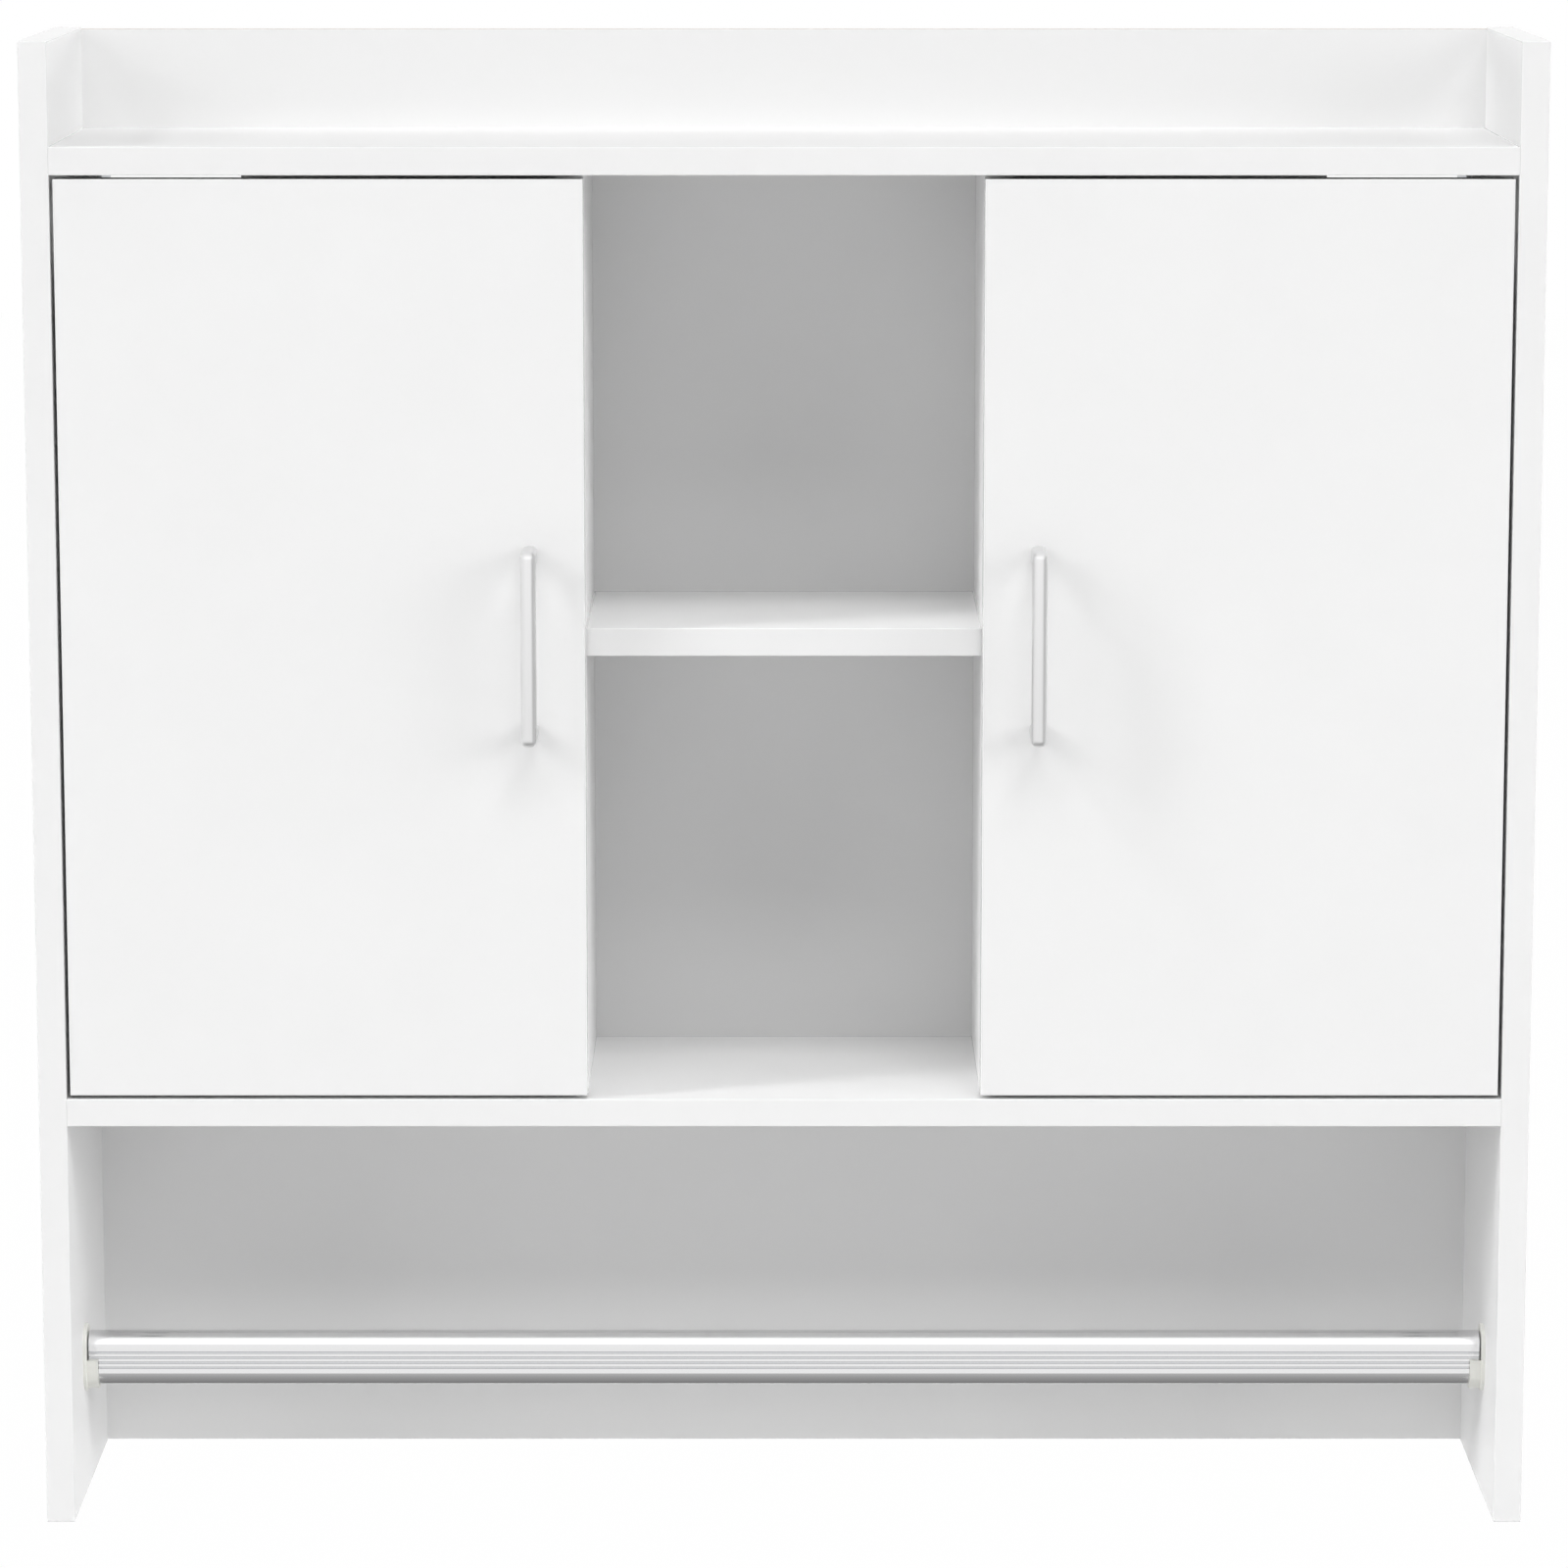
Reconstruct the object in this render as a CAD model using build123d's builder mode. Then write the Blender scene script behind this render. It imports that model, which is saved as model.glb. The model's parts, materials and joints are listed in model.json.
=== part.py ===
from build123d import *
import os
from collections import namedtuple

os.makedirs("parts", exist_ok=True)

# Hanging wall cabinet, in millimetres. The wall is the plane Y = 0 and the front faces -Y.
# Z = 0 is half way up and X = 0 is the middle. Left pieces are modelled, right ones mirrored.

# Overall size
width = 800
height = 800
depth = 160

# Boards and sheets
board = 15  # carcass boards
door_board = 15
back_sheet = 3
edge_round = 0.5  # softened edge of the banding

# Layout
rail_bay = 220  # sides reach this far below the bottom board
gallery = 55  # and this far above the top board
bay_width = 211  # open bay between the dividers
lower_niche = 238  # clear height below the middle shelf
back_drop = 1  # back panel ends this far short of the sides' upper and lower ends
rebate = 7  # width of the rebate that takes the back panel
sheet_room = 0.5  # play of the back panel in its rebates

# Doors
door_gap = 2  # gap around a closed door
door_rest = 2  # room between a closed door and the divider behind it
bumper_radius = 4
bumper_room = 0.2  # bumper to divider
bumper_edge = 30  # bumper to the upper or lower edge of the door

# Handles: a bar bent into a bridge, with a low crown and rounded edges on its outer side
handle_spacing = 96  # between the two legs
handle_width = 8
handle_bar = 8  # thickness of the bar, crown included
handle_crown = 0.8
handle_round = 1.8
handle_inner_bend = 2.5  # radius inside the bends
handle_projection = 27
handle_edge = 29  # bar to the free edge of the door

# Concealed hinges: the pin stands at half the door's thickness, as near its edge as the swing allows
hinge_edge = 80  # hinge to the upper or lower edge of the door
swing_room = 0.25  # door corner to side panel while the door swings
pin_radius = 1.75
pin_bite = 4  # pin in each cheek of the cup
pin_to_cup = 7.5
cup_radius = 17.4
cup_flange = 1.2
cup_floor = 1
cup_wing_length = 62
cup_wing_width = 13
cup_screw_spread = 24  # screws above and below the cup
cup_screw_shift = 6  # and this much further from the door's edge
eye_radius = 3.2
eye_room = 0.3
arm_width = 15
arm_strip = 2.4
arm_wall = 1.2
arm_bend = 4
neck_room = 1.9  # neck to cup flange with the door open
pocket_room = 1.2  # neck to the end of the cup's pocket
crank_rise = 10  # slope of the arm between neck and plate
plate_front = 40  # front of the cabinet to the mounting plate
plate_length = 44
plate_rise = 7
plate_wing = 2
plate_wing_length = 46
plate_wing_width = 16
plate_screw_spread = 16
plate_screw_step = 12  # front of the plate to its screws
arm_screw_step = 30  # front of the plate to the arm's screw
seat_room = 0.2  # arm beside the plate

# Loose shelf behind each door
shelf_height = 240  # clear height below it
shelf_setback = 32  # front of the cabinet to the shelf
shelf_room = 0.5
peg_edge = 24  # pegs to the shelf's front and rear edges
peg_radius = 3
peg_reach = 8
peg_hole_pitch = 32
peg_shank_radius = 2.45
peg_bite = 8

# Knock-down fittings
fixing_edge = 35  # front and rear fixings to the edges of a board
cam_radius = 7.4
cam_below_axis = 4.5  # cam beyond the bolt's axis
cam_setback = 24  # cam to the end of its board
cam_slot_width = 1.6
cam_slot_depth = 1.5
bolt_radius = 2.45
bolt_bite = 10
bolt_head_radius = 3.4
bolt_head = 3
dowel_radius = 3.95
dowel_bite = 9
dowel_reach = 19
nail_radius = 0.8
nail_length = 16
nail_head_radius = 2.2
nail_head = 0.8
nail_margin = 60  # row of nails to the end of its board

# Wall hangers in the upper rear corners
hanger_drop = 2  # top board to hanger
hanger_thick = 12
hanger_length = 44
hanger_height = 40
hanger_round = 3
hanger_screw_edge = 9
hook_thick = 2.5
hook_height = 14
hook_tip = 2.1
hook_notch = 3
hook_notch_height = 8
hook_wall_room = 0.4  # hook to the wall
hook_drop = 6  # hook below the upper edge of the hanger
adjuster_edge = 9  # upper adjuster below the upper edge of the hanger
adjuster_pitch = 10
cutout_width = 75.5
cutout_height = 34
cutout_drop = 4  # top board to cut-out
cutout_room = 1  # hook to the outer edge of the cut-out

# Oval rail and its sockets
rail_height = 30
rail_thick = 15
rail_wall = 1.5
rail_up = 76  # lower ends of the sides to the middle of the rail
rail_back = 60  # front of the cabinet to the middle of the rail
rail_room = 0.3
rail_end_room = 0.8  # rail to the flange of its socket
flute_count = 4
flute_pitch = 2.85
flute_width = 1.2  # half round
socket_flange = 2
socket_rim = 1.2  # flange around the cup
socket_wall = 2.2
socket_depth = 6
socket_screw_spread = 7

# Screws: the length is measured below the head
Screw = namedtuple("Screw", "radius length head_radius head_height")
wood_screw = Screw(radius=1.75, length=12, head_radius=3.2, head_height=1.8)
plate_screw = Screw(radius=2.45, length=12, head_radius=3.4, head_height=1.8)
arm_screw = Screw(radius=2, length=8, head_radius=3.6, head_height=1.6)
handle_screw = Screw(radius=2, length=27, head_radius=4, head_height=2.2)
hanger_screw = Screw(radius=1.95, length=24, head_radius=3.6, head_height=1.8)
adjuster_screw = Screw(radius=3, length=10, head_radius=3, head_height=0.8)
fit = 0.05  # pins, screws, dowels and cams in their holes

# Levels and faces
foot_z = -height / 2
bottom_z = foot_z + rail_bay  # lower face of the bottom board
floor_z = bottom_z + board
roof_z = height / 2 - gallery - board  # lower face of the top board
niche_z = floor_z + lower_niche  # lower face of the middle shelf
inner_x = width / 2 - board  # inner faces of the sides
divider_x = bay_width / 2  # faces of the dividers towards the open bay
divider_outer_x = divider_x + board
front_y = -depth
rear_y = -back_sheet  # front of the back panel
divider_front_y = front_y + door_board + door_rest
boards_y = (front_y + rear_y) / 2
divider_y = (divider_front_y + rear_y) / 2

# Doors and hinge axis
door_width = inner_x - door_gap - divider_x
door_x = -divider_x - door_width / 2
door_low_z = floor_z + door_gap
door_high_z = roof_z - door_gap
door_z = (door_low_z + door_high_z) / 2
door_rear_y = front_y + door_board
half_door = door_board / 2
pin_inset = (door_gap**2 + half_door**2 - swing_room**2) / (2 * (door_gap - swing_room))
pin_x = -inner_x + pin_inset
pin_y = front_y + half_door
hinge_heights = (door_high_z - hinge_edge, door_low_z + hinge_edge)

# Hinge, measured from its pin
cup_depth = half_door + eye_radius + eye_room + cup_floor
cheek = arm_width / 2 + eye_room
neck_near = half_door + cup_flange + neck_room
neck_middle = neck_near + arm_strip / 2
side_face_x = -pin_inset
web_x = side_face_x + plate_rise + arm_strip / 2
elbow_y = pin_inset - swing_room
plate_start = plate_front - half_door
plate_end = plate_start + plate_length

# Places of the fixings
carcass_rows = (front_y + fixing_edge, rear_y - fixing_edge)
divider_rows = (divider_front_y + fixing_edge, rear_y - fixing_edge)
shelf_front_y = front_y + shelf_setback
shelf_rear_y = rear_y - shelf_room
peg_rows = (shelf_front_y + peg_edge, shelf_rear_y - peg_edge)
shelf_z = floor_z + shelf_height
peg_z = shelf_z - peg_radius
rail_y = front_y + rail_back
rail_z = foot_z + rail_up
hanger_top_z = roof_z - hanger_drop
hanger_face_x = -inner_x + hanger_thick
hanger_front_y = rear_y - hanger_length
hanger_screw_z = hanger_top_z - hanger_height + hanger_screw_edge
handle_x = -divider_x - handle_edge
sides = (-1, 1)


def board_end(x, y, z, into, cam_face=(0, 0, -1)):
    # Butt joint of two boards: Z runs into the board that ends there, X out of its cam's face
    return Plane(origin=(x, y, z), x_dir=cam_face, z_dir=into)


def facing_x(x, y, z, direction=1):
    return Plane(origin=(x, y, z), x_dir=(0, 1, 0), z_dir=(direction, 0, 0))


def facing_back(x, y, z):
    return Plane(origin=(x, y, z), x_dir=(1, 0, 0), z_dir=(0, 1, 0))


def cam_seat(end):
    # Mouth of the cam's bore in the face of the board
    middle = end.origin + end.z_dir * cam_setback + end.x_dir * (board / 2)
    return Plane(origin=middle, x_dir=end.z_dir, z_dir=end.x_dir)


def reversed_all(planes):
    return [-plane for plane in planes]


def on_left(planes):
    return [plane for plane in planes if plane.origin.X < 0]


# Butt joints with a cam and bolt, and with a dowel
top_cams = []
bottom_cams = []
top_dowels = []
bottom_dowels = []
for side in sides:
    inwards = (-side, 0, 0)
    for y in carcass_rows:
        top_cams.append(board_end(side * inner_x, y, roof_z + board / 2, inwards))
        bottom_cams.append(board_end(side * inner_x, y, bottom_z + board / 2, inwards))
    top_dowels.append(board_end(side * inner_x, boards_y, roof_z + board / 2, inwards))
    bottom_dowels.append(board_end(side * inner_x, boards_y, bottom_z + board / 2, inwards))

divider_top_cams = []
divider_bottom_cams = []
divider_top_dowels = []
divider_bottom_dowels = []
niche_dowels = []
for side in sides:
    outwards = (side, 0, 0)
    middle_x = side * (divider_x + board / 2)
    divider_top_cams.append(board_end(middle_x, divider_y, roof_z, (0, 0, -1), outwards))
    divider_bottom_cams.append(board_end(middle_x, divider_y, floor_z, (0, 0, 1), outwards))
    for y in divider_rows:
        divider_top_dowels.append(board_end(middle_x, y, roof_z, (0, 0, -1), outwards))
        divider_bottom_dowels.append(board_end(middle_x, y, floor_z, (0, 0, 1), outwards))
        niche_dowels.append(board_end(side * divider_x, y, niche_z + board / 2, (-side, 0, 0)))

all_cams = top_cams + bottom_cams + divider_top_cams + divider_bottom_cams
all_dowels = top_dowels + bottom_dowels + divider_top_dowels + divider_bottom_dowels + niche_dowels

# Nails of the back panel, on its rear face
nail_run = inner_x - nail_margin
nail_columns = (-nail_run, -nail_run / 3, nail_run / 3, nail_run)
top_nails = [facing_back(x, 0, roof_z + board / 2) for x in nail_columns]
bottom_nails = [facing_back(x, 0, bottom_z + board / 2) for x in nail_columns]
side_nails = []
divider_nails = []
for side in sides:
    for z in (foot_z + nail_margin, 0, -foot_z - nail_margin):
        side_nails.append(facing_back(side * (inner_x + rebate / 2), 0, z))
    for z in (floor_z + nail_margin, roof_z - nail_margin):
        divider_nails.append(facing_back(side * (divider_x + board / 2), 0, z))
all_nails = top_nails + bottom_nails + side_nails + divider_nails

# Screws and pegs in the left side and the left divider
plate_screw_y = front_y + plate_front + plate_screw_step
plate_screws_left = []
for z in hinge_heights:
    for way in sides:
        plate_screws_left.append(facing_x(-inner_x, plate_screw_y, z + way * plate_screw_spread))
hanger_screw_rows = (hanger_front_y + hanger_screw_edge, rear_y - hanger_screw_edge)
hanger_screws_left = [facing_x(-inner_x, y, hanger_screw_z) for y in hanger_screw_rows]
socket_screws_left = [facing_x(-inner_x, rail_y, rail_z + way * socket_screw_spread) for way in sides]
side_pegs = [facing_x(-inner_x, y, peg_z) for y in peg_rows]
divider_pegs = [facing_x(-divider_outer_x, y, peg_z, -1) for y in peg_rows]


def peg_holes(pegs):
    # A short column of holes, with the peg in the middle one
    holes = []
    for peg in pegs:
        for rise in (-peg_hole_pitch, 0, peg_hole_pitch):
            holes.append(Plane(peg.origin + Vector(0, 0, rise), peg.x_dir, peg.z_dir))
    return holes


def drill(planes, radius, deep):
    # Blind holes that start at the planes and run against their Z
    with Locations(*planes):
        Hole(radius + fit, deep)


def drill_nails(planes):
    with Locations(*[plane.offset(-back_sheet) for plane in planes]):
        Hole(nail_radius + fit, nail_length - back_sheet)


# Carcass boards
with BuildPart() as left_side_panel:
    with BuildSketch(Plane.YZ.offset(-width / 2)):
        with Locations((front_y / 2, 0)):
            Rectangle(depth, height)
    extrude(amount=board)
    fillet(left_side_panel.edges() - left_side_panel.faces().sort_by(Axis.Y)[-1].edges(), edge_round)
    with BuildSketch(Plane.XY.offset(foot_z)):
        with Locations((-inner_x, 0)):
            Rectangle(rebate, back_sheet, align=(Align.MAX, Align.MAX))
    extrude(amount=height, mode=Mode.SUBTRACT)
    drill(on_left(top_cams + bottom_cams), bolt_radius, bolt_bite)
    drill(on_left(top_dowels + bottom_dowels), dowel_radius, dowel_bite)
    drill(peg_holes(side_pegs), peg_shank_radius, peg_bite)
    drill(plate_screws_left, plate_screw.radius, plate_screw.length - plate_wing)
    drill(hanger_screws_left, hanger_screw.radius, hanger_screw.length - hanger_thick)
    drill(socket_screws_left, wood_screw.radius, wood_screw.length - socket_flange)
    drill_nails(on_left(side_nails))

with BuildPart() as top_board:
    with BuildSketch(Plane.XY.offset(roof_z)):
        with Locations((0, boards_y)):
            Rectangle(2 * inner_x, rear_y - front_y)
    extrude(amount=board)
    fillet(top_board.edges().filter_by(Axis.X).group_by(Axis.Y)[0], edge_round)
    drill(reversed_all(top_cams), bolt_head_radius, cam_setback)
    drill([cam_seat(end) for end in top_cams], cam_radius, board / 2 + cam_below_axis)
    drill(reversed_all(top_dowels), dowel_radius, dowel_reach)
    drill(divider_top_cams, bolt_radius, bolt_bite)
    drill(divider_top_dowels, dowel_radius, dowel_bite)
    drill_nails(top_nails)

with BuildPart() as bottom_board:
    with BuildSketch(Plane.XY.offset(bottom_z)):
        with Locations((0, boards_y)):
            Rectangle(2 * inner_x, rear_y - front_y)
    extrude(amount=board)
    fillet(bottom_board.edges().filter_by(Axis.X).group_by(Axis.Y)[0], edge_round)
    drill(reversed_all(bottom_cams), bolt_head_radius, cam_setback)
    drill([cam_seat(end) for end in bottom_cams], cam_radius, board / 2 + cam_below_axis)
    drill(reversed_all(bottom_dowels), dowel_radius, dowel_reach)
    drill(divider_bottom_cams, bolt_radius, bolt_bite)
    drill(divider_bottom_dowels, dowel_radius, dowel_bite)
    drill_nails(bottom_nails)

with BuildPart() as left_divider:
    with BuildSketch(Plane.XY.offset(floor_z)):
        with Locations((-divider_x - board / 2, divider_y)):
            Rectangle(board, rear_y - divider_front_y)
    extrude(amount=roof_z - floor_z)
    fillet(left_divider.edges().filter_by(Axis.Z).group_by(Axis.Y)[0], edge_round)
    divider_cams = on_left(divider_top_cams + divider_bottom_cams)
    drill(reversed_all(divider_cams), bolt_head_radius, cam_setback)
    drill([cam_seat(end) for end in divider_cams], cam_radius, board / 2 + cam_below_axis)
    drill(reversed_all(on_left(divider_top_dowels + divider_bottom_dowels)), dowel_radius, dowel_reach)
    drill(on_left(niche_dowels), dowel_radius, dowel_bite)
    drill(peg_holes(divider_pegs), peg_shank_radius, peg_bite)
    drill_nails(on_left(divider_nails))

with BuildPart() as middle_shelf:
    with BuildSketch(Plane.XY.offset(niche_z)):
        with Locations((0, divider_y)):
            Rectangle(bay_width, rear_y - divider_front_y)
    extrude(amount=board)
    fillet(middle_shelf.edges().filter_by(Axis.X).group_by(Axis.Y)[0], edge_round)
    drill(reversed_all(niche_dowels), dowel_radius, dowel_reach)

with BuildPart() as left_inner_shelf:
    with BuildSketch(Plane.XY.offset(shelf_z)):
        with Locations((-(inner_x + divider_outer_x) / 2, (shelf_front_y + shelf_rear_y) / 2)):
            Rectangle(inner_x - divider_outer_x - 2 * shelf_room, shelf_rear_y - shelf_front_y)
    extrude(amount=board)
    fillet(left_inner_shelf.edges().filter_by(Axis.X).group_by(Axis.Y)[0], edge_round)

cutout_x = hanger_face_x - cutout_room
with BuildPart() as back_panel:
    with BuildSketch(Plane.XZ):
        Rectangle(2 * (inner_x + rebate - sheet_room), height - 2 * back_drop)
        for side in sides:
            with Locations((side * (-cutout_x - cutout_width / 2), roof_z - cutout_drop)):
                Rectangle(
                    cutout_width, cutout_height, align=(Align.CENTER, Align.MAX), mode=Mode.SUBTRACT
                )
    extrude(amount=back_sheet)
    with Locations(*all_nails):
        CounterBoreHole(nail_radius + fit, nail_head_radius + fit, nail_head, back_sheet)

# Fittings that join the boards
with BuildPart() as cam:
    # Set in its bore: the mouth is the plane Z = 0, the bolt comes in along -X
    Cylinder(cam_radius, board / 2 + cam_below_axis, align=(Align.CENTER, Align.CENTER, Align.MAX))
    with BuildSketch(Plane.YZ.offset(-cam_radius)):
        with Locations((0, -board / 2)):
            Circle(bolt_head_radius + fit)
    extrude(amount=cam_radius + bolt_head, mode=Mode.SUBTRACT)
    with BuildSketch(Plane.XY):
        Rectangle(cam_radius * 2, cam_slot_width)
    extrude(amount=-cam_slot_depth, mode=Mode.SUBTRACT)

with BuildPart() as cam_bolt:
    Cylinder(bolt_radius, bolt_bite, align=(Align.CENTER, Align.CENTER, Align.MAX))
    Cylinder(bolt_radius, cam_setback - bolt_head / 2, align=(Align.CENTER, Align.CENTER, Align.MIN))
    with Locations((0, 0, cam_setback)):
        Cylinder(bolt_head_radius, bolt_head)

with BuildPart() as dowel:
    with Locations((0, 0, (dowel_reach - dowel_bite) / 2)):
        Cylinder(dowel_radius, dowel_reach + dowel_bite - 2 * sheet_room)

with BuildPart() as nail:
    Cylinder(nail_head_radius, nail_head, align=(Align.CENTER, Align.CENTER, Align.MAX))
    Cylinder(nail_radius, nail_length, align=(Align.CENTER, Align.CENTER, Align.MAX))

with BuildPart() as peg:
    Cylinder(peg_shank_radius, peg_bite, align=(Align.CENTER, Align.CENTER, Align.MAX))
    Cylinder(peg_radius, peg_reach, align=(Align.CENTER, Align.CENTER, Align.MIN))


def turned(screw):
    # The seat of the head is the plane Z = 0, the shank runs along -Z
    with BuildPart() as made:
        Cylinder(screw.radius, screw.length, align=(Align.CENTER, Align.CENTER, Align.MAX))
        Cylinder(screw.head_radius, screw.head_height, align=(Align.CENTER, Align.CENTER, Align.MIN))
        chamfer(made.edges().group_by(Axis.Z)[-1], screw.head_height / 3)
    return made


def group(piece, places):
    with BuildPart() as made:
        with Locations(*places):
            add(piece.part)
    return made


def mirrored(piece):
    with BuildPart() as made:
        mirror(piece.part, about=Plane.YZ)
    return made


def pair(piece):
    with BuildPart() as made:
        add(piece.part)
        mirror(piece.part, about=Plane.YZ)
    return made


cam_locks = group(cam, [cam_seat(end) for end in all_cams])
cam_bolts = group(cam_bolt, all_cams)
dowels = group(dowel, all_dowels)
nails = group(nail, all_nails)
shelf_pegs = pair(group(peg, side_pegs + divider_pegs))

# Wall hangers
adjuster_x = -inner_x + hanger_thick / 2
adjuster_places = []
for drop in (adjuster_edge, adjuster_edge + adjuster_pitch):
    adjuster_places.append(
        Plane(origin=(adjuster_x, hanger_front_y, hanger_top_z - drop), x_dir=(1, 0, 0), z_dir=(0, -1, 0))
    )

hanger_screw_seats = [place.offset(hanger_thick) for place in hanger_screws_left]
with BuildPart() as left_hanger:
    with BuildSketch(Plane.YZ.offset(-inner_x)):
        with Locations((rear_y - hanger_length / 2, hanger_top_z - hanger_height / 2)):
            RectangleRounded(hanger_length, hanger_height, hanger_round)
    extrude(amount=hanger_thick)
    fillet(left_hanger.edges().group_by(Axis.X)[-1], edge_round)
    with Locations(*hanger_screw_seats):
        Hole(hanger_screw.radius + fit)
    drill(adjuster_places, adjuster_screw.radius, adjuster_screw.length)

with BuildPart() as left_hook:
    with BuildSketch(Plane.YZ.offset(hanger_face_x)):
        with Locations((-hook_wall_room, hanger_top_z - hook_drop)):
            Rectangle(hanger_length - hook_wall_room, hook_height, align=(Align.MAX, Align.MAX))
        with Locations((-hook_wall_room - hook_tip, hanger_top_z - hook_drop - hook_height)):
            Rectangle(hook_notch, hook_notch_height, align=(Align.MAX, Align.MIN), mode=Mode.SUBTRACT)
    extrude(amount=hook_thick)

hanger_adjusters = pair(group(turned(adjuster_screw), adjuster_places))
hanger_screws = pair(group(turned(hanger_screw), hanger_screw_seats))

# Oval rail with a band of flutes along both flat faces
rail_length = 2 * (inner_x - socket_flange - rail_end_room)
with BuildPart() as towel_rail:
    with BuildSketch(Plane.YZ.offset(-rail_length / 2)):
        with Locations((rail_y, rail_z)):
            SlotOverall(rail_height, rail_thick, rotation=90)
            SlotOverall(
                rail_height - 2 * rail_wall, rail_thick - 2 * rail_wall, rotation=90, mode=Mode.SUBTRACT
            )
        for way in sides:
            with Locations((rail_y + way * rail_thick / 2, rail_z)):
                with GridLocations(flute_pitch, flute_pitch, 1, flute_count):
                    Circle(flute_width / 2, mode=Mode.SUBTRACT)
    extrude(amount=rail_length)

# Sockets: an oval flange and a cup that is open at the top
cup_grow = 2 * (rail_room + socket_wall)
flange_grow = cup_grow + 2 * socket_rim
socket_screw_seats = [place.offset(socket_flange) for place in socket_screws_left]
with BuildPart() as left_rail_socket:
    with BuildSketch(Plane.YZ.offset(-inner_x)):
        with Locations((rail_y, rail_z)):
            SlotOverall(rail_height + flange_grow, rail_thick + flange_grow, rotation=90)
    extrude(amount=socket_flange)
    fillet(left_rail_socket.edges().group_by(Axis.X)[-1], edge_round)
    with BuildSketch(Plane.YZ.offset(-inner_x + socket_flange)):
        with Locations((rail_y, rail_z)):
            SlotOverall(rail_height + cup_grow, rail_thick + cup_grow, rotation=90)
            SlotOverall(
                rail_height + 2 * rail_room, rail_thick + 2 * rail_room, rotation=90, mode=Mode.SUBTRACT
            )
            Rectangle(rail_height, rail_height, align=(Align.CENTER, Align.MIN), mode=Mode.SUBTRACT)
    extrude(amount=socket_depth)
    with Locations(*socket_screw_seats):
        Hole(wood_screw.radius + fit)

socket_screws = pair(group(turned(wood_screw), socket_screw_seats))

# Doors, handles and bumpers
cup_places = [facing_back(pin_x + pin_to_cup, door_rear_y, z) for z in hinge_heights]
cup_screws_left = []
for place in cup_places:
    for way in sides:
        cup_screw_z = place.origin.Z + way * cup_screw_spread
        cup_screws_left.append(facing_back(place.origin.X + cup_screw_shift, door_rear_y, cup_screw_z))
handle_legs = [facing_back(handle_x, door_rear_y, door_z + way * handle_spacing / 2) for way in sides]
bumper_places = []
for z in (door_low_z + bumper_edge, door_high_z - bumper_edge):
    bumper_places.append(facing_back(-divider_x - board / 2, door_rear_y, z))

with BuildPart() as left_door:
    with BuildSketch(Plane.XZ.offset(depth)):
        with Locations((door_x, door_z)):
            Rectangle(door_width, door_high_z - door_low_z)
    extrude(amount=-door_board)
    fillet(left_door.edges().group_by(Axis.Y)[0], edge_round)
    drill(cup_places, cup_radius, cup_depth)
    drill(cup_screws_left, wood_screw.radius, wood_screw.length - cup_flange)
    with Locations(*handle_legs):
        Hole(handle_screw.radius + fit)

bar_y = front_y - handle_projection + handle_bar / 2
upper_leg_z = door_z + handle_spacing / 2
lower_leg_z = door_z - handle_spacing / 2
with BuildPart() as left_handle:
    with BuildLine() as bridge:
        FilletPolyline(
            (handle_x, front_y, upper_leg_z),
            (handle_x, bar_y, upper_leg_z),
            (handle_x, bar_y, lower_leg_z),
            (handle_x, front_y, lower_leg_z),
            radius=handle_bar / 2 + handle_inner_bend,
        )
    foot_plane = Plane(origin=(handle_x, front_y, upper_leg_z), x_dir=(1, 0, 0), z_dir=(0, -1, 0))
    with BuildSketch(foot_plane) as bar_profile:
        with BuildLine():
            shoulder = handle_bar / 2 - handle_crown
            left_edge = (-handle_width / 2, shoulder)
            right_edge = (handle_width / 2, shoulder)
            ThreePointArc(left_edge, (0, handle_bar / 2), right_edge)
            Polyline(
                right_edge,
                (handle_width / 2, -handle_bar / 2),
                (-handle_width / 2, -handle_bar / 2),
                left_edge,
            )
        make_face()
        fillet(bar_profile.vertices().group_by(Axis.Y)[-1], handle_round)
    sweep(path=bridge.line)
    leg_feet = [place.offset(-door_board) for place in handle_legs]
    drill(leg_feet, handle_screw.radius, handle_screw.length - door_board)

left_handle_screws = group(turned(handle_screw), handle_legs)
left_cup_screws = group(turned(wood_screw), [place.offset(cup_flange) for place in cup_screws_left])

with BuildPart() as left_bumpers:
    with Locations(*bumper_places):
        Cylinder(bumper_radius, door_rest - bumper_room, align=(Align.CENTER, Align.CENTER, Align.MIN))

# One hinge, modelled about its pin: X away from the side panel, Y into the cabinet
with BuildPart() as hinge_cup:
    with BuildSketch(Plane.XZ.offset(-half_door)):
        with Locations((pin_to_cup, 0)):
            Circle(cup_radius)
    extrude(amount=cup_depth)
    with BuildSketch(Plane.XZ.offset(-half_door)):
        with Locations((pin_to_cup, 0)):
            Circle(cup_radius + cup_flange)
        with Locations((pin_to_cup + cup_screw_shift, 0)):
            RectangleRounded(cup_wing_width, cup_wing_length, cup_wing_width / 3)
    extrude(amount=-cup_flange)
    with BuildSketch(Plane.XZ.offset(-half_door - cup_flange)):
        with Locations((-eye_radius - eye_room, 0)):
            pocket_length = eye_radius + eye_room + neck_near + arm_strip + pocket_room
            Rectangle(pocket_length, 2 * cheek, align=(Align.MIN, Align.CENTER))
    extrude(amount=cup_flange + cup_depth - cup_floor, mode=Mode.SUBTRACT)
    Cylinder(pin_radius + fit, 2 * (cheek + pin_bite), mode=Mode.SUBTRACT)
    wing_x = pin_to_cup + cup_screw_shift
    with Locations(*[facing_back(wing_x, half_door + cup_flange, way * cup_screw_spread) for way in sides]):
        Hole(wood_screw.radius + fit, cup_flange)

with BuildPart() as hinge_pin:
    Cylinder(pin_radius, 2 * (cheek + pin_bite))

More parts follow.
